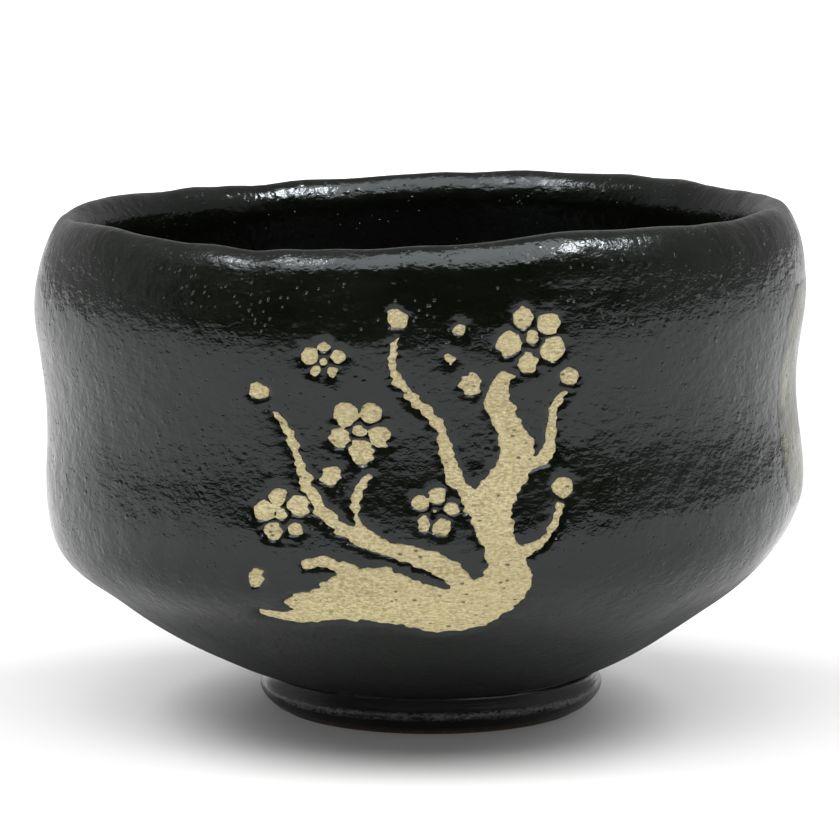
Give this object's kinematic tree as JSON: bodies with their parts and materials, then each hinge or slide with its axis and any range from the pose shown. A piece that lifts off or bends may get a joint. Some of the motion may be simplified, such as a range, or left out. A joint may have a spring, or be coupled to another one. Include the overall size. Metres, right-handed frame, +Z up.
{
  "type": "tea bowl",
  "caption": "Hand-formed matcha bowl in black glaze with an incurved wavy lip, a small foot ring, a pale slip branch on the front and a slip patch on one side.",
  "frame": {"origin": "on the table, under the middle of the bowl's widest outline", "axes": "+Z up through the mouth; -Y is the front with the slip branch; +X is the side with the slip patch"},
  "size_m": [0.1227, 0.1216, 0.0818],
  "materials": {
    "clay": "bare fired clay, matt and slightly gritty",
    "black_glaze": "thick glossy near-black glaze with fine level ripples, pits and pinholes",
    "pale_slip": "sandy pale buff slip, matt with small glints"
  },
  "bodies": {
    "root": {"clay_body": "clay", "foot_ring": "clay", "outer_glaze": "black_glaze", "inner_glaze": "black_glaze", "foot_glaze": "black_glaze", "foot_well_glaze": "black_glaze", "branch_slip": "pale_slip", "blossom_slip": "pale_slip", "bud_slip": "pale_slip", "side_patch_slip": "pale_slip"}
  },
  "joints": []
}
